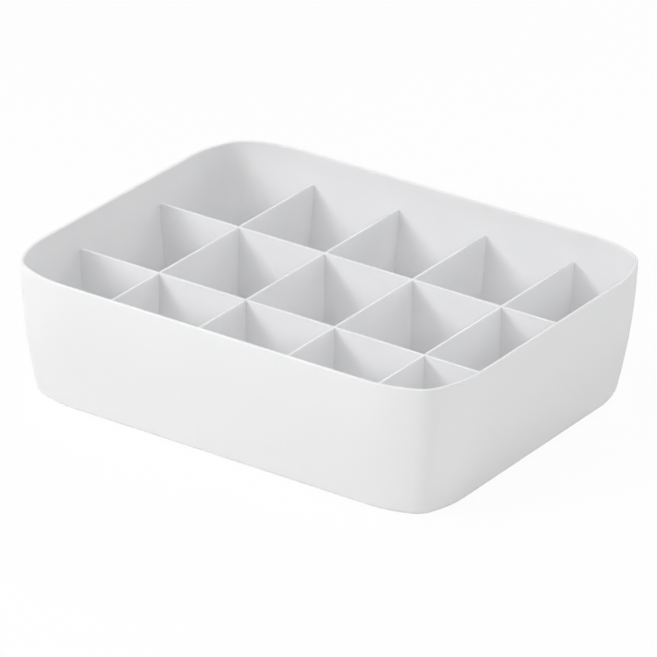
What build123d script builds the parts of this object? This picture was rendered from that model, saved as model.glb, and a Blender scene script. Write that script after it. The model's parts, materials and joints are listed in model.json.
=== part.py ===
from build123d import *
from math import asin, cos, pi, radians, sin, sqrt
import os

# Drawer organizer insert: one open moulded tray and a lift-out grid of six slotted dividers.
# Millimetres. X runs along the tray, Y across it, Z up. The origin is the middle of the base.

# Tray, measured over the rim
length = 321.0
width = 254.0
height = 87.5
wall = 2.2
floor_thickness = 2.2

# Side wall in section: almost upright at the rim, then curving in towards the base
rim_lean = 0.75           # degrees from upright at the rim
wall_bow_radius = 410.0   # outer face, seen in section
base_radius = 4.0         # outer edge between wall and base
inner_base_radius = 3.0   # inner edge between wall and floor

# Corners in plan: a tight arc between two wide shoulder arcs
corner_radius = 24.0
shoulder_radius = 78.0
shoulder_angle = 25.0     # degrees turned by each shoulder arc

# Dividers
divider_thickness = 1.6
divider_drop = 20.0       # from the rim down to the dividers' top edges
divider_corner = 3.0      # radius of each divider's two upper corners
crosswise_count = 4
crosswise_pitch = 65.0
lengthwise_count = 2
lengthwise_pitch = 84.5

# Clearances
end_gap = 0.3             # divider end to tray wall
slot_gap = 0.1            # each side of a divider in its slot
slot_end_gap = 0.3        # between the ends of two mating slots

divider_top = height - divider_drop
slot_meeting = (floor_thickness + divider_top) / 2

rim_radius = wall / 2     # full round along the rim
shoulder_height = height - rim_radius

# The wall arc's centre, as a distance inwards from the rim and a height above the base
bow_centre_in = wall_bow_radius * cos(radians(rim_lean))
bow_centre_up = shoulder_height + wall_bow_radius * sin(radians(rim_lean))

# Plan centres of the corner's arcs in the +X +Y corner
corner_inset = shoulder_radius - (shoulder_radius - corner_radius) * cos(radians(shoulder_angle))
corner_reach = corner_inset + (shoulder_radius - corner_radius) * sin(radians(shoulder_angle))
corner_centre = Vector(length / 2 - corner_inset, width / 2 - corner_inset)
x_shoulder_centre = Vector(length / 2 - shoulder_radius, width / 2 - corner_reach)
y_shoulder_centre = Vector(length / 2 - corner_reach, width / 2 - shoulder_radius)
corner_angle = 90 - 2 * shoulder_angle

# Half the straight stretch of the sides that face X and of those that face Y
x_side_run = width / 2 - corner_reach
y_side_run = length / 2 - corner_reach

# Room left between the deepest base edge and the flat core that the carried sections join
core_margin = 4.0


def wall_point(inset, z):
    """Where the wall, inset from its outer face, stands at a height: (distance out from the rim, z)."""
    radius = wall_bow_radius - inset
    return (sqrt(radius**2 - (bow_centre_up - z) ** 2) - bow_centre_in, z)


def base_edge(inset, base, edge_radius):
    """How far out a base edge arc has its centre, and how far below level it meets the wall."""
    reach = wall_bow_radius - inset - edge_radius
    drop = bow_centre_up - base - edge_radius
    return sqrt(reach**2 - drop**2) - bow_centre_in, asin(drop / reach)


# The three faces that curve in to the base, as (inset, base height, edge radius)
outside = (0, 0, base_radius)
inside = (wall, floor_thickness, inner_base_radius)
divider_side = (wall + end_gap, floor_thickness, inner_base_radius + end_gap)

# How far the core stays inside the rim
core_inset = core_margin - min(base_edge(*face)[0] for face in (outside, inside, divider_side))


def wall_curve(face, top):
    """Base line, base edge arc and wall arc of one face, from the flat core up to the top."""
    inset, base, edge_radius = face
    centre_out, heel_angle = base_edge(*face)

    def on_edge(angle):
        return (centre_out + edge_radius * cos(angle), base + edge_radius * (1 - sin(angle)))

    foot, middle, heel = on_edge(pi / 2), on_edge((pi / 2 + heel_angle) / 2), on_edge(heel_angle)
    half_way = wall_point(inset, (heel[1] + top) / 2)
    return [
        Line((-core_inset, base), foot),
        ThreePointArc(foot, middle, heel),
        ThreePointArc(heel, half_way, wall_point(inset, top)),
    ]


def wall_section():
    """The tray's side wall and the edge of its floor, with a full round on the rim."""
    outer = wall_curve(outside, shoulder_height)
    inner = wall_curve(inside, shoulder_height)
    outer_tip, inner_tip = outer[-1] @ 1, inner[-1] @ 1
    crown = ((outer_tip.X + inner_tip.X) / 2, height)
    rim = ThreePointArc(outer_tip, crown, inner_tip)
    edge = Line(outer[0] @ 0, inner[0] @ 0)
    return make_face(Plane.XZ * (Curve() + outer + [rim] + inner + [edge]))


def room_section():
    """The space inside the wall that a divider may fill, up to the dividers' top."""
    curve = wall_curve(divider_side, divider_top)
    tip = curve[-1] @ 1
    top = Line(tip, (-core_inset, divider_top))
    side = Line((-core_inset, divider_top), curve[0] @ 0)
    return make_face(Plane.XZ * (Curve() + curve + [top, side]))


def turned(section, centre, radius, start, angle):
    """A section carried round one vertical axis."""
    placed = Pos(centre.X, centre.Y) * Rot(0, 0, start) * Pos(radius, 0) * section
    return revolve(placed, Axis((centre.X, centre.Y, 0), (0, 0, 1)), revolution_arc=angle)


def around(section):
    """A section carried all the way round the tray's outline."""
    far_shoulder = shoulder_angle + corner_angle
    quarter = [
        extrude(Pos(length / 2, 0) * section, x_side_run, dir=(0, 1, 0)),
        turned(section, x_shoulder_centre, shoulder_radius, 0, shoulder_angle),
        turned(section, corner_centre, corner_radius, shoulder_angle, corner_angle),
        turned(section, y_shoulder_centre, shoulder_radius, far_shoulder, shoulder_angle),
        extrude(Pos(0, width / 2) * Rot(0, 0, 90) * section, y_side_run, dir=(1, 0, 0)),
    ]
    half = quarter + [mirror(piece, Plane.YZ) for piece in quarter]
    return half + [mirror(piece, Plane.XZ) for piece in half]


def core(base, top):
    """The block inside the carried section, between two heights."""
    half_length, half_width = length / 2 - core_inset, width / 2 - core_inset
    tight, wide = corner_radius - core_inset, shoulder_radius - core_inset
    edges = [
        Line((half_length, 0), (half_length, x_side_run)),
        CenterArc(x_shoulder_centre, wide, 0, shoulder_angle),
        CenterArc(corner_centre, tight, shoulder_angle, corner_angle),
        CenterArc(y_shoulder_centre, wide, shoulder_angle + corner_angle, shoulder_angle),
        Line((y_side_run, half_width), (0, half_width)),
    ]
    edges += [mirror(edge, Plane.YZ) for edge in edges]
    edges += [mirror(edge, Plane.XZ) for edge in edges]
    return Pos(0, 0, base) * extrude(make_face(edges), top - base)


def fused(first, others):
    """One solid from pieces that meet face to face."""
    return first.fuse(*others).clean()


def row(count, pitch):
    """Evenly spaced places, centred on zero."""
    return [(index - (count - 1) / 2) * pitch for index in range(count)]


def divider(room, along, at, crossings, slots_from_top):
    """One plate, shaped to the room it stands in and slotted where the others cross it."""
    plane = Plane.XZ.offset(-at) if along == "X" else Plane.YZ.offset(at)
    outline = section(room, section_by=plane)
    upper = [v for v in outline.vertices() if abs(v.Z - divider_top) < 0.01]
    outline = fillet(upper, divider_corner)
    plate = extrude(outline, divider_thickness / 2, both=True)
    slot_width = divider_thickness + 2 * slot_gap
    if slots_from_top:
        low, high = slot_meeting - slot_end_gap / 2, divider_top + 1
    else:
        low, high = floor_thickness - 1, slot_meeting + slot_end_gap / 2
    for crossing in crossings:
        place = (crossing, at) if along == "X" else (at, crossing)
        cutter = Box(slot_width, slot_width, high - low)
        plate -= Pos(*place, (low + high) / 2) * cutter
    return plate


def save(shape, name):
    """One STEP file per piece."""
    shape.label = name
    export_step(shape, f"parts/{name}.step")


os.makedirs("parts", exist_ok=True)

tray = fused(core(0, floor_thickness), around(wall_section()))
save(tray, "tray")

room = fused(core(floor_thickness, divider_top), around(room_section()))
crosswise_places = row(crosswise_count, crosswise_pitch)
lengthwise_places = row(lengthwise_count, lengthwise_pitch)

for number, y in enumerate(lengthwise_places, 1):
    save(divider(room, "X", y, crosswise_places, True), f"lengthwise_divider_{number}")

for number, x in enumerate(crosswise_places, 1):
    save(divider(room, "Y", x, lengthwise_places, False), f"crosswise_divider_{number}")
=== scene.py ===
"""Drawer organizer insert: an open moulded tray and its lift-out divider grid, finished and lit."""
import json
import math

import bmesh
import bpy
from mathutils import Matrix, Vector


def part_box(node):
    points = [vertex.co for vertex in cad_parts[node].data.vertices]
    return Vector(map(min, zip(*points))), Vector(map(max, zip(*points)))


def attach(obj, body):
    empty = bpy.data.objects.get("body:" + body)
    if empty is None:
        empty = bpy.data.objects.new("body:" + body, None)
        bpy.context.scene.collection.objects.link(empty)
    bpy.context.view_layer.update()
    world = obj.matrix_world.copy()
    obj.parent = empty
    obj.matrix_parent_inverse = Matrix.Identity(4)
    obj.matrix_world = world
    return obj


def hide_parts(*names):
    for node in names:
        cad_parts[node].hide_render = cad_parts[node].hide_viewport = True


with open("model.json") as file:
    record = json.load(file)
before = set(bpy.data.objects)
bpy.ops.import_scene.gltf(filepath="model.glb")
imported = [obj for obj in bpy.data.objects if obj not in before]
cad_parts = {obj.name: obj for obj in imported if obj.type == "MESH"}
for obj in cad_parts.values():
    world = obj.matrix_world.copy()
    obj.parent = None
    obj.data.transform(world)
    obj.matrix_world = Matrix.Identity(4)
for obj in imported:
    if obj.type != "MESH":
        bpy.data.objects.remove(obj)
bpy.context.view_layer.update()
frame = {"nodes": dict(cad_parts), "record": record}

bl_info = {
    "name": "Drawer Organizer Insert",
    "version": (1, 0, 0),
    "blender": (4, 5, 0),
    "location": "View3D > Sidebar > Organizer",
    "description": "Builds a moulded drawer tray with lift-out dividers, its finish and its studio",
    "category": "Object",
}

MM = 0.001
SHARPEST_SMOOTH = math.radians(50)  # edges that bend further are shaded sharp
LARGE_FACE_WEIGHT = 100  # large faces set the shading of the roundings beside them
LENGTHWISE = sorted(name for name in frame["nodes"] if name.startswith("lengthwise"))
CROSSWISE = sorted(name for name in frame["nodes"] if name.startswith("crosswise"))
BODY_OF = {
    node: body
    for body, nodes in frame["record"]["behaviour"]["bodies"].items()
    for node in nodes
}
TRAY_LOW, TRAY_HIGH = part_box("tray")
TRAY_LENGTH, TRAY_WIDTH, TRAY_HEIGHT = TRAY_HIGH - TRAY_LOW

# Each soft lamp's azimuth and elevation in degrees, width in metres and power in watts.
# Azimuth 0 is on the -Y side.
LAMPS = {
    "key": (-30, 27, 0.45, 7.8),
    "front_left_high": (-45, 65, 0.8, 6.8),
    "front_right": (45, 40, 0.8, 3.8),
    "front_right_low": (45, 20, 0.8, 2.4),
    "right": (90, 40, 0.8, 2.6),
    "back_right": (135, 20, 0.8, 4.0),
    "back": (180, 40, 0.8, 7.2),
    "left": (-90, 20, 0.8, 4.5),
}

# How many straight steps draw each curve
SIDE_RUN_STEPS = 12
SHOULDER_STEPS = 8
CORNER_STEPS = 28
WALL_STEPS = 30
BASE_EDGE_STEPS = 10
INNER_EDGE_STEPS = 8
RIM_STEPS = 12
GATE_STEPS = 48
PLATE_SIDE_STEPS = 16
PLATE_HEEL_STEPS = 6
PLATE_CORNER_STEPS = 10
TOP_EDGE_STEPS = 4
STAGE_FLOOR_STEPS = 96

CORE_SHARE = 0.85  # how far in from the rim the flat middle begins, in corner radii
GATE_TAPER = 0.94  # width of the moulding mark's bottom against its mouth
STILL, DOWN = (0.0, 0.0), (0.0, -1.0)  # ways in which a plate's outline gives at its rounded edge

POLYPROPYLENE_IOR = 1.49
LIGHT_SPREAD = 1.5 * MM
LIGHT_SPREAD_COLOUR = (1.0, 0.95, 0.9)
SHEEN_SPREAD = 0.05
MOTTLE_PATCHES = 0.4  # patches of colour to each cooling wave
TRAY_PATCH, DIVIDER_PATCH = 3.1, 7.9  # where in the endless pattern each plastic lies
PATCH_Y, PATCH_Z = 0.37, 0.71  # its other two coordinates, as shares of the first

SEEN_FLOOR_HEIGHT = -0.2 * MM
BOUNCE_FLOOR_HEIGHT = -1 * MM
FLOOR_ROUGHNESS = 0.9
SENSOR_WIDTH = 36.0


# ------------------------------------------------------------------ settings

def length_setting(name, description, default, least=0.0):
    return bpy.props.FloatProperty(
        name=name, description=description, default=default, min=least, precision=5, unit="LENGTH"
    )


def angle_setting(name, description, degrees):
    return bpy.props.FloatProperty(
        name=name, description=description, default=math.radians(degrees), subtype="ANGLE"
    )


def colour_setting(name, description, default):
    return bpy.props.FloatVectorProperty(
        name=name,
        description=description,
        default=default,
        min=0.0,
        max=1.0,
        size=3,
        subtype="COLOR",
    )


def amount_setting(name, description, default, most=1.0):
    return bpy.props.FloatProperty(
        name=name, description=description, default=default, min=0.0, max=most
    )


def group_setting(kind, name, description):
    return bpy.props.PointerProperty(type=kind, name=name, description=description)


class TraySettings(bpy.types.PropertyGroup):
    """Shape of the moulded tray. Its overall size is the frame's."""

    wall: length_setting("Wall", "Thickness of the side walls", 2.2 * MM)
    floor: length_setting("Floor", "Thickness of the floor", 2.2 * MM)
    rim_lean: angle_setting("Rim lean", "How far the wall leans from upright at the rim", 0.75)
    bow_radius: length_setting("Bow radius", "Radius of the wall's curve, in section", 410 * MM)
    base_radius: length_setting("Base radius", "Outer rounding between wall and base", 4 * MM)
    inner_base_radius: length_setting("Inner base radius", "Rounding of wall into floor", 3 * MM)
    corner_radius: length_setting("Corner radius", "Tight middle arc of each corner", 24 * MM)
    shoulder_radius: length_setting("Shoulder radius", "Wide arcs beside each corner", 78 * MM)
    shoulder_angle: angle_setting("Shoulder angle", "How far each wide arc turns", 25.0)
    gate_radius: length_setting("Gate radius", "Radius of the mark under the base", 5 * MM)
    gate_depth: length_setting("Gate depth", "Depth of the mark under the base", 0.4 * MM)


class DividerSettings(bpy.types.PropertyGroup):
    """Shape of the divider plates. Their places and heights are the frame's."""

    end_gap: length_setting("End gap", "Gap between a divider's end and the wall", 0.05 * MM)
    end_corner: length_setting("End corner", "Rounding of a divider's upper corners", 1.8 * MM)
    slot_gap: length_setting("Slot gap", "Gap on each side of a plate in its slot", 0.03 * MM)
    slot_end_gap: length_setting("Slot end gap", "Gap between the ends of mating slots", 0.3 * MM)
    lengthwise_round: length_setting("Lengthwise round", "Rounding along lengthwise tops", 0.3 * MM)
    crosswise_round: length_setting("Crosswise round", "Rounding along crosswise tops", 0.5 * MM)


class FinishSettings(bpy.types.PropertyGroup):
    """Satin white polypropylene."""

    tray_colour: colour_setting("Tray colour", "Colour of the tray", (0.935, 0.936, 0.944))
    divider_colour: colour_setting("Divider colour", "Colour of dividers", (0.935, 0.936, 0.944))
    roughness: amount_setting("Roughness", "How satin the plastic is", 0.46)
    translucency: amount_setting("Translucency", "How much light spreads inside the plastic", 0.06)
    grain_size: length_setting("Grain size", "Size of the fine mould texture", 0.45 * MM)
    grain_depth: length_setting("Grain depth", "Depth of the fine mould texture", 0.02 * MM)
    ripple_size: length_setting("Ripple size", "Size of the faint waves of cooling", 45 * MM)
    ripple_depth: length_setting("Ripple depth", "Depth of the faint waves of cooling", 0.06 * MM)
    mottle: amount_setting("Mottle", "How much the colour varies from place to place", 0.015)


class StageSettings(bpy.types.PropertyGroup):
    """White studio, soft lights and camera."""

    surround: amount_setting("Surround", "Brightness of the white backdrop", 1.0, 10)
    floor_white: amount_setting("Floor white", "How white the unlit floor looks", 0.935, 10)
    floor_reflectance: amount_setting("Floor reflectance", "Lamplight seen on the floor", 0.06)
    floor_bounce: amount_setting("Floor bounce", "Lamplight thrown up by the floor", 0.8)
    floor_glow: amount_setting("Floor glow", "Further even light from the floor", 0.088, 10)
    floor_radius: length_setting("Floor radius", "Radius of the studio floor", 8.0)
    lamp_power: amount_setting("Lamp power", "Scales the power of every lamp", 1.0, 100)
    lamp_distance: length_setting("Lamp distance", "Distance from the tray to each lamp", 1.5)
    azimuth: angle_setting("Azimuth", "Camera's turn about the vertical; 0 looks along +Y", 34.01)
    elevation: angle_setting("Elevation", "Camera's height above the horizon", 25.42)
    roll: angle_setting("Roll", "Camera's tilt about its own line of sight", 1.085)
    distance: length_setting("Distance", "Camera's distance, along its line of sight", 3.7333)
    aim_right: length_setting("Aim right", "View centre's place beside the base", -0.12 * MM, -1.0)
    aim_up: length_setting("Aim up", "View centre's place above the base", 37.01 * MM, -1.0)
    lens: bpy.props.FloatProperty(
        name="Lens",
        description="Focal length on a 36 mm sensor",
        default=333.0,
        min=1.0,
        subtype="DISTANCE_CAMERA",
    )


class OrganizerSettings(bpy.types.PropertyGroup):
    """Everything a user would change."""

    tray: group_setting(TraySettings, "Tray", "The moulded tray")
    divider: group_setting(DividerSettings, "Dividers", "The divider plates")
    finish: group_setting(FinishSettings, "Finish", "The plastic's finish")
    stage: group_setting(StageSettings, "Stage", "Studio and camera")


# ------------------------------------------------------------------ the wall's curve

def even_steps(start, end, count):
    """Evenly spaced values from start to end, both included."""
    return [start + (end - start) * step / count for step in range(count + 1)]


class WallCurve:
    """The side wall in section: distances are outwards from the rim, and heights above the base."""

    def __init__(self, tray):
        self.radius = tray.bow_radius
        self.shoulder = TRAY_HEIGHT - tray.wall / 2
        self.centre_in = tray.bow_radius * math.cos(tray.rim_lean)
        self.centre_up = self.shoulder + tray.bow_radius * math.sin(tray.rim_lean)

    def out(self, inset, z):
        """How far out the face lies at a height, inset from the wall's outer face."""
        return math.sqrt((self.radius - inset) ** 2 - (self.centre_up - z) ** 2) - self.centre_in

    def side(self, inset, low, high, steps):
        """Points up the face between two heights."""
        return [(self.out(inset, z), z) for z in even_steps(low, high, steps)]

    def edge(self, inset, centre_z, radius, start, steps):
        """An edge arc from an angle above the horizontal, round to where it meets the face."""
        reach = self.radius - inset - radius
        drop = self.centre_up - centre_z
        centre_out = math.sqrt(reach**2 - drop**2) - self.centre_in
        end = -math.asin(drop / reach)
        return [
            (centre_out + radius * math.cos(angle), centre_z + radius * math.sin(angle))
            for angle in even_steps(start, end, steps)
        ]


# ------------------------------------------------------------------ meshes

def new_piece(name, bm, material):
    """A shaded object from a finished bmesh, which is used up."""
    bmesh.ops.recalc_face_normals(bm, faces=bm.faces)
    for edge in bm.edges:
        edge.smooth = edge.calc_face_angle(0.0) < SHARPEST_SMOOTH
    mesh = bpy.data.meshes.new(name)
    bm.to_mesh(mesh)
    bm.free()
    mesh.shade_smooth()
    mesh.materials.append(material)
    piece = bpy.data.objects.new(name, mesh)
    bpy.context.scene.collection.objects.link(piece)
    weighted = piece.modifiers.new("Even shading", "WEIGHTED_NORMAL")
    weighted.weight = LARGE_FACE_WEIGHT
    weighted.keep_sharp = True
    return piece


def stitch(bm, rings):
    """Bands of quads between closed rings of the same number of vertices."""
    for low, high in zip(rings, rings[1:]):
        for here in range(len(low)):
            following = (here + 1) % len(low)
            bm.faces.new((low[here], low[following], high[following], high[here]))


def put_in_place(piece, node):
    """Seats a piece on its body, in the place of its frame node."""
    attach(piece, BODY_OF[node])
    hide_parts(node)


# ------------------------------------------------------------------ tray

def quarter_outline(tray):
    """Points and outward directions of the rim's outer line, from the +X side to the +Y side."""
    wide, tight, turn = tray.shoulder_radius, tray.corner_radius, tray.shoulder_angle
    inset = wide - (wide - tight) * math.cos(turn)
    reach = inset + (wide - tight) * math.sin(turn)
    half_length, half_width = TRAY_LENGTH / 2, TRAY_WIDTH / 2
    x_run, y_run = half_width - reach, half_length - reach
    square = math.pi / 2
    arcs = [
        (half_length - wide, half_width - reach, wide, 0.0, turn, SHOULDER_STEPS),
        (half_length - inset, half_width - inset, tight, turn, square - turn, CORNER_STEPS),
        (half_length - reach, half_width - wide, wide, square - turn, square, SHOULDER_STEPS),
    ]
    points = [(half_length, y, 0.0) for y in even_steps(0.0, x_run, SIDE_RUN_STEPS)[:-1]]
    for centre_x, centre_y, radius, start, end, steps in arcs:
        for angle in even_steps(start, end, steps)[:-1]:
            x = centre_x + radius * math.cos(angle)
            y = centre_y + radius * math.sin(angle)
            points.append((x, y, angle))
    for step in range(SIDE_RUN_STEPS + 1):
        points.append((y_run * (1 - step / SIDE_RUN_STEPS), half_width, square))
    return points


def tray_outline(tray):
    """The whole outline once round, as (point, outward direction)."""
    quarter = quarter_outline(tray)
    half = quarter + [(-x, y, math.pi - angle) for x, y, angle in reversed(quarter[:-1])]
    whole = half + [(-x, -y, math.pi + angle) for x, y, angle in half[1:-1]]
    return [
        (Vector((x, y)), Vector((math.cos(angle), math.sin(angle)))) for x, y, angle in whole
    ]


def tray_profile(tray, curve, core):
    """Section of the tray: from mid-base up the outside, over the rim and down to the floor."""
    bottom = -math.pi / 2
    inner_radius = tray.inner_base_radius
    inner_height = tray.floor + inner_radius
    outer_edge = curve.edge(0.0, tray.base_radius, tray.base_radius, bottom, BASE_EDGE_STEPS)
    inner_edge = curve.edge(tray.wall, inner_height, inner_radius, bottom, INNER_EDGE_STEPS)
    outer_side = curve.side(0.0, outer_edge[-1][1], curve.shoulder, WALL_STEPS)
    inner_side = curve.side(tray.wall, inner_edge[-1][1], curve.shoulder, WALL_STEPS)
    rim_radius = tray.wall / 2
    rim = [
        (-rim_radius + rim_radius * math.cos(turn), curve.shoulder + rim_radius * math.sin(turn))
        for turn in even_steps(0.0, math.pi, RIM_STEPS)[1:-1]
    ]
    outside = [(-core, 0.0)] + outer_edge[:-1] + outer_side
    inside = inner_edge[:-1] + inner_side
    return outside + rim + inside[::-1] + [(-core, tray.floor)]


def close_base(bm, ring, tray):
    """The underside, flat but for one shallow round mark in its middle."""
    circle, sunk = [], []
    for turn in even_steps(0.0, 2 * math.pi, GATE_STEPS)[:-1]:
        x, y = tray.gate_radius * math.cos(turn), tray.gate_radius * math.sin(turn)
        circle.append(bm.verts.new((x, y, 0.0)))
        sunk.append(bm.verts.new((x * GATE_TAPER, y * GATE_TAPER, tray.gate_depth)))
    stitch(bm, [circle, sunk])
    bm.faces.new(sunk)
    rims = [
        bm.edges.get((loop[i], loop[i - 1])) for loop in (ring, circle) for i in range(len(loop))
    ]
    bmesh.ops.triangle_fill(bm, edges=rims, use_beauty=True)


def build_tray(settings, material):
    """The tray as one closed shell."""
    tray = settings.tray
    curve = WallCurve(tray)
    core = tray.corner_radius * CORE_SHARE
    outline = tray_outline(tray)
    bm = bmesh.new()
    rings = [
        [bm.verts.new((*(point + out * offset), z)) for point, out in outline]
        for offset, z in tray_profile(tray, curve, core)
    ]
    stitch(bm, rings)
    bm.faces.new(rings[-1])
    close_base(bm, rings[0], tray)
    return new_piece("tray_shell", bm, material)


# ------------------------------------------------------------------ dividers

def end_outline(half, floor, top, settings):
    """A plate's right end, from its foot up to its top edge, shaped to the wall's inner face."""
    tray, divider = settings.tray, settings.divider
    curve = WallCurve(tray)
    inset = tray.wall + divider.end_gap
    heel_radius = tray.inner_base_radius + divider.end_gap
    corner = divider.end_corner
    heel = curve.edge(inset, floor + heel_radius, heel_radius, -math.pi / 2, PLATE_HEEL_STEPS)
    crest = curve.edge(inset, top - corner, corner, math.pi / 2, PLATE_CORNER_STEPS)
    side = curve.side(inset, heel[-1][1], crest[-1][1], PLATE_SIDE_STEPS)
    outline = [((half + out, z), STILL) for out, z in heel[:-1] + side]
    for out, z in crest[-2::-1]:
        give = ((crest[0][0] - out) / corner, (top - corner - z) / corner)
        outline.append(((half + out, z), give))
    return outline


def slot_outline(start, end, mouth, depth, give):
    """A slot's corners, in at one side of its mouth and out at the other."""
    foot = [((start, depth), STILL), ((end, depth), STILL)]
    return [((start, mouth), give), *foot, ((end, mouth), give)]


def plate_outline(half, floor, top, slots, slots_from_top, settings):
    """A divider's outline in its own plane, anticlockwise from its lower left.

    Each entry is a point and its give: the way it moves in where the top edge is rounded over.
    """
    right_end = end_outline(half, floor, top, settings)
    left_end = [
        ((-along, z), (-give_along, give_up))
        for (along, z), (give_along, give_up) in reversed(right_end)
    ]
    slot_half = divider_slot_half(settings)
    half_gap = settings.divider.slot_end_gap / 2
    middle = (floor + top) / 2
    below, above = [], []
    for place in slots:
        left, right = place - slot_half, place + slot_half
        if slots_from_top:
            above = slot_outline(right, left, top, middle - half_gap, DOWN) + above
        else:
            below = below + slot_outline(left, right, floor, middle + half_gap, STILL)
    return below + right_end + above + left_end


def divider_slot_half(settings):
    """Half the width of the slots, which clear the plates that stand in them."""
    low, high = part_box(CROSSWISE[0])
    return (high.x - low.x) / 2 + settings.divider.slot_gap


def build_plate(name, outline, thickness, edge_round, to_world, material):
    """A flat plate whose top edge is softly rounded over."""
    levels = []
    for turn in even_steps(0.0, math.pi / 2, TOP_EDGE_STEPS):
        depth = thickness / 2 - edge_round * (1 - math.cos(turn))
        levels.append((edge_round * (1 - math.sin(turn)), depth))
    levels += [(inset, -depth) for inset, depth in reversed(levels)]
    bm = bmesh.new()
    rings = []
    for inset, depth in levels:
        ring = []
        for (along, up), (give_along, give_up) in outline:
            place = Vector((along + give_along * inset, up + give_up * inset, depth))
            ring.append(bm.verts.new(to_world @ place))
        rings.append(ring)
    stitch(bm, rings)
    bm.faces.new(rings[0])
    bm.faces.new(rings[-1])
    return new_piece(name, bm, material)


def plate_frame(along, across):
    """Turns a plate's own (along, up, across) into the row frame, at its place across."""
    if along == "X":
        return Matrix(((1, 0, 0, 0), (0, 0, 1, across), (0, 1, 0, 0), (0, 0, 0, 1)))
    return Matrix(((0, 0, 1, across), (1, 0, 0, 0), (0, 1, 0, 0), (0, 0, 0, 1)))


def centre_of(node):
    low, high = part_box(node)
    return (low + high) / 2


def build_divider(node, along, settings, material):
    """One divider, shaped to the wall at its ends and slotted where the others cross it."""
    low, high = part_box(node)
    middle = (low + high) / 2
    if along == "X":
        half, across, thickness = TRAY_LENGTH / 2, middle.y, high.y - low.y
        edge_round = settings.divider.lengthwise_round
        slots = sorted(centre_of(other).x for other in CROSSWISE)
    else:
        half, across, thickness = TRAY_WIDTH / 2, middle.x, high.x - low.x
        edge_round = settings.divider.crosswise_round
        slots = sorted(centre_of(other).y for other in LENGTHWISE)
    outline = plate_outline(half, low.z, high.z, slots, along == "X", settings)
    to_world = plate_frame(along, across)
    return build_plate(f"{node}_plate", outline, thickness, edge_round, to_world, material)


# ------------------------------------------------------------------ finish

def add_node(tree, kind, name, **values):
    """A named shader node with its sockets or settings filled in."""
    node = tree.nodes.new(kind)
    node.name = node.label = name
    for key, value in values.items():
        if key in node.inputs:
            node.inputs[key].default_value = value
        else:
            setattr(node, key, value)
    return node


def pattern_place(tree, patch):
    """Where a point lies in a plastic's own patch of the endless pattern."""
    place = add_node(tree, "ShaderNodeTexCoord", "Place on the piece")
    corner = (patch, patch * PATCH_Y, patch * PATCH_Z)
    shift = add_node(tree, "ShaderNodeMapping", "Own patch of pattern", Location=corner)
    tree.links.new(place.outputs["Object"], shift.inputs["Vector"])
    return shift.outputs["Vector"]


def add_noise(tree, name, place, scale, detail):
    """Soft noise, in so many patches to the metre."""
    noise = add_node(tree, "ShaderNodeTexNoise", name, Scale=scale, Detail=detail)
    tree.links.new(place, noise.inputs["Vector"])
    return noise.outputs["Fac"]


def spread_about(tree, name, noise, middle, spread):
    """Turns noise into values up to a spread either side of a middle one."""
    values = add_node(tree, "ShaderNodeMapRange", name)
    values.inputs["To Min"].default_value = middle - spread
    values.inputs["To Max"].default_value = middle + spread
    tree.links.new(noise, values.inputs["Value"])
    return values.outputs["Result"]


def add_relief(tree, name, noise, depth):
    """A bump at its full strength, of a given depth."""
    relief = add_node(tree, "ShaderNodeBump", name, Strength=1.0, Distance=depth)
    tree.links.new(noise, relief.inputs["Height"])
    return relief


def satin_plastic(name, colour, finish, patch):
    """Moulded polypropylene: a soft sheen, fine mould grain and faint waves from cooling."""
    material = bpy.data.materials.new(name)
    material.use_nodes = True
    tree = material.node_tree
    link = tree.links.new
    shader = tree.nodes["Principled BSDF"]
    shader.inputs["IOR"].default_value = POLYPROPYLENE_IOR
    shader.inputs["Subsurface Weight"].default_value = finish.translucency
    shader.inputs["Subsurface Radius"].default_value = LIGHT_SPREAD_COLOUR
    shader.inputs["Subsurface Scale"].default_value = LIGHT_SPREAD

    place = pattern_place(tree, patch)
    mottle = add_noise(tree, "Mottle", place, MOTTLE_PATCHES / finish.ripple_size, 3.0)
    grain = add_noise(tree, "Mould grain", place, 1 / finish.grain_size, 2.0)
    ripple = add_noise(tree, "Cooling waves", place, 1 / finish.ripple_size, 1.0)

    tinted = add_node(tree, "ShaderNodeVectorMath", "Tinted colour", operation="SCALE")
    tinted.inputs[0].default_value = colour
    tint = spread_about(tree, "Mottle strength", mottle, 1.0, finish.mottle)
    link(tint, tinted.inputs["Scale"])
    link(tinted.outputs["Vector"], shader.inputs["Base Color"])
    sheen = spread_about(tree, "Sheen from grain", grain, finish.roughness, SHEEN_SPREAD)
    link(sheen, shader.inputs["Roughness"])

    wave_relief = add_relief(tree, "Wave relief", ripple, finish.ripple_depth)
    grain_relief = add_relief(tree, "Grain relief", grain, finish.grain_depth)
    link(wave_relief.outputs["Normal"], grain_relief.inputs["Normal"])
    link(grain_relief.outputs["Normal"], shader.inputs["Normal"])
    return material


def tray_plastic(finish):
    """The tray's plastic, made the first time it is asked for."""
    name = "Tray polypropylene"
    made = bpy.data.materials.get(name)
    return made or satin_plastic(name, finish.tray_colour, finish, TRAY_PATCH)


def divider_plastic(finish):
    """The dividers' plastic, made the first time it is asked for."""
    name = "Divider polypropylene"
    made = bpy.data.materials.get(name)
    return made or satin_plastic(name, finish.divider_colour, finish, DIVIDER_PATCH)


# ------------------------------------------------------------------ stage

def white_material(name, reflectance, glow):
    """A plain matt white surface that also gives off its own even light."""
    material = bpy.data.materials.new(name)
    material.use_nodes = True
    shader = material.node_tree.nodes["Principled BSDF"]
    shader.inputs["Base Color"].default_value = (reflectance, reflectance, reflectance, 1)
    shader.inputs["Roughness"].default_value = FLOOR_ROUGHNESS
    shader.inputs["Specular IOR Level"].default_value = 0.0
    shader.inputs["Emission Color"].default_value = (1, 1, 1, 1)
    shader.inputs["Emission Strength"].default_value = glow
    return material


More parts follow.
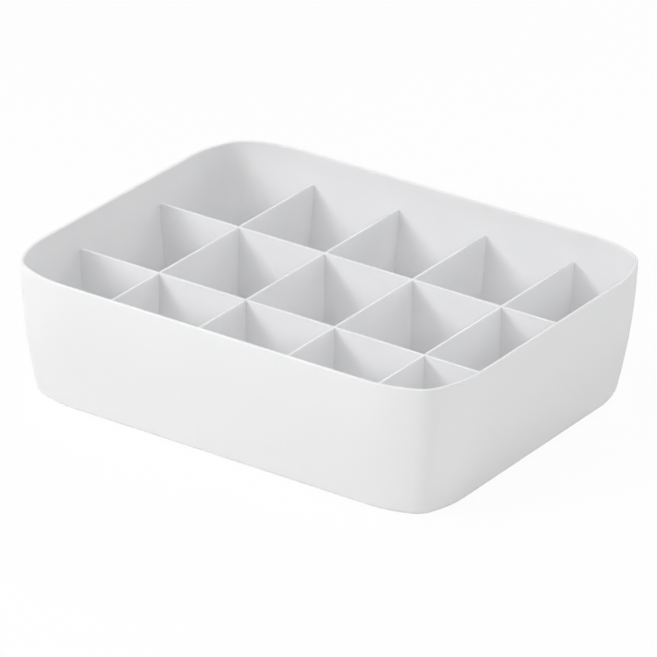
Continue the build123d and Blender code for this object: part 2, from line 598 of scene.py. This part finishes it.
def round_sheet(name, radius, height, material):
    """A flat round sheet of the stage."""
    bm = bmesh.new()
    bmesh.ops.create_circle(bm, cap_ends=True, segments=STAGE_FLOOR_STEPS, radius=radius)
    mesh = bpy.data.meshes.new(name)
    bm.to_mesh(mesh)
    bm.free()
    mesh.materials.append(material)
    sheet = bpy.data.objects.new(name, mesh)
    sheet.location.z = height
    bpy.context.scene.collection.objects.link(sheet)
    return sheet


def light_floor(stage):
    """A pale floor to see, and a white one that the camera misses, lighting the tray from below."""
    pale = white_material("Pale floor", stage.floor_reflectance, stage.floor_white)
    seen = round_sheet("studio_floor", stage.floor_radius, SEEN_FLOOR_HEIGHT, pale)
    seen.visible_diffuse = seen.visible_glossy = seen.visible_shadow = False
    glowing = white_material("Floor bounce", stage.floor_bounce, stage.floor_glow)
    sheet = round_sheet("studio_bounce", stage.floor_radius, BOUNCE_FLOOR_HEIGHT, glowing)
    sheet.visible_camera = False


def white_backdrop(stage):
    """Even white behind the floor, for the camera only: it lights nothing."""
    world = bpy.data.worlds.new("Studio backdrop")
    world.use_nodes = True
    background = world.node_tree.nodes["Background"]
    background.inputs["Color"].default_value = (1, 1, 1, 1)
    background.inputs["Strength"].default_value = stage.surround
    world.cycles_visibility.diffuse = world.cycles_visibility.glossy = False
    world.cycles_visibility.transmission = world.cycles_visibility.scatter = False
    bpy.context.scene.world = world


def soft_lamp(name, back, distance, size, energy):
    """A square soft light that faces the tray from the direction back."""
    light = bpy.data.lights.new(name, "AREA")
    light.size = size
    light.energy = energy
    lamp = bpy.data.objects.new(name, light)
    bpy.context.scene.collection.objects.link(lamp)
    lamp.location = Vector((0, 0, TRAY_HEIGHT / 2)) + back * distance
    lamp.rotation_mode = "QUATERNION"
    lamp.rotation_quaternion = (-back).to_track_quat("-Z", "Y")
    lamp.visible_camera = False


def soft_lamps(stage):
    """The ring of soft lamps."""
    for name, (azimuth, elevation, size, watts) in LAMPS.items():
        back = direction_to(math.radians(azimuth), math.radians(elevation))
        soft_lamp(f"lamp_{name}", back, stage.lamp_distance, size, watts * stage.lamp_power)


def direction_to(azimuth, elevation):
    """Unit vector towards a place round the tray; azimuth 0 is on the -Y side."""
    level = math.cos(elevation)
    return Vector((math.sin(azimuth) * level, -math.cos(azimuth) * level, math.sin(elevation)))


def place_camera(stage):
    """A long lens from above the tray's near right corner."""
    back = direction_to(stage.azimuth, stage.elevation)
    right = Vector((math.cos(stage.azimuth), math.sin(stage.azimuth), 0))
    up = back.cross(right)
    camera_x = right * math.cos(stage.roll) + up * math.sin(stage.roll)
    camera_y = back.cross(camera_x)
    data = bpy.data.cameras.new("studio_camera")
    data.sensor_width = SENSOR_WIDTH
    data.lens = stage.lens
    camera = bpy.data.objects.new("studio_camera", data)
    bpy.context.scene.collection.objects.link(camera)
    turn = Matrix((camera_x, camera_y, back)).transposed().to_4x4()
    spot = back * stage.distance + right * stage.aim_right + up * stage.aim_up
    camera.matrix_world = Matrix.Translation(spot) @ turn
    bpy.context.scene.camera = camera


# ------------------------------------------------------------------ operators

class ORGANIZER_OT_tray(bpy.types.Operator):
    """Build the moulded tray"""

    bl_idname = "organizer.tray"
    bl_label = "Tray"

    def execute(self, context):
        settings = context.scene.organizer
        material = tray_plastic(settings.finish)
        put_in_place(build_tray(settings, material), "tray")
        return {"FINISHED"}


class ORGANIZER_OT_lengthwise_dividers(bpy.types.Operator):
    """Build the dividers that run along the tray"""

    bl_idname = "organizer.lengthwise_dividers"
    bl_label = "Lengthwise Dividers"

    def execute(self, context):
        settings = context.scene.organizer
        material = divider_plastic(settings.finish)
        for node in LENGTHWISE:
            put_in_place(build_divider(node, "X", settings, material), node)
        return {"FINISHED"}


class ORGANIZER_OT_crosswise_dividers(bpy.types.Operator):
    """Build the dividers that run across the tray"""

    bl_idname = "organizer.crosswise_dividers"
    bl_label = "Crosswise Dividers"

    def execute(self, context):
        settings = context.scene.organizer
        material = divider_plastic(settings.finish)
        for node in CROSSWISE:
            put_in_place(build_divider(node, "Y", settings, material), node)
        return {"FINISHED"}


class ORGANIZER_OT_stage(bpy.types.Operator):
    """Set up the white studio, its soft lights and the camera"""

    bl_idname = "organizer.stage"
    bl_label = "Studio"

    def execute(self, context):
        stage = context.scene.organizer.stage
        light_floor(stage)
        white_backdrop(stage)
        soft_lamps(stage)
        place_camera(stage)
        context.scene.view_settings.view_transform = "Standard"
        return {"FINISHED"}


class ORGANIZER_PT_sidebar(bpy.types.Panel):
    """Lists the pieces and their settings"""

    bl_idname = "ORGANIZER_PT_sidebar"
    bl_label = "Drawer Organizer"
    bl_space_type = "VIEW_3D"
    bl_region_type = "UI"
    bl_category = "Organizer"

    def draw(self, context):
        settings = context.scene.organizer
        groups = (
            (settings.tray, ("organizer.tray",)),
            (settings.divider, ("organizer.lengthwise_dividers", "organizer.crosswise_dividers")),
            (settings.finish, ()),
            (settings.stage, ("organizer.stage",)),
        )
        for group, operators in groups:
            box = self.layout.box()
            for key in group.__annotations__:
                box.prop(group, key)
            for operator in operators:
                box.operator(operator)


CLASSES = (
    TraySettings,
    DividerSettings,
    FinishSettings,
    StageSettings,
    OrganizerSettings,
    ORGANIZER_OT_tray,
    ORGANIZER_OT_lengthwise_dividers,
    ORGANIZER_OT_crosswise_dividers,
    ORGANIZER_OT_stage,
    ORGANIZER_PT_sidebar,
)


def register():
    for cls in CLASSES:
        bpy.utils.register_class(cls)
    bpy.types.Scene.organizer = bpy.props.PointerProperty(type=OrganizerSettings)


def unregister():
    del bpy.types.Scene.organizer
    for cls in reversed(CLASSES):
        bpy.utils.unregister_class(cls)


def main():
    register()
    bpy.ops.organizer.tray()
    bpy.ops.organizer.lengthwise_dividers()
    bpy.ops.organizer.crosswise_dividers()
    bpy.ops.organizer.stage()


if __name__ == "__main__":
    main()
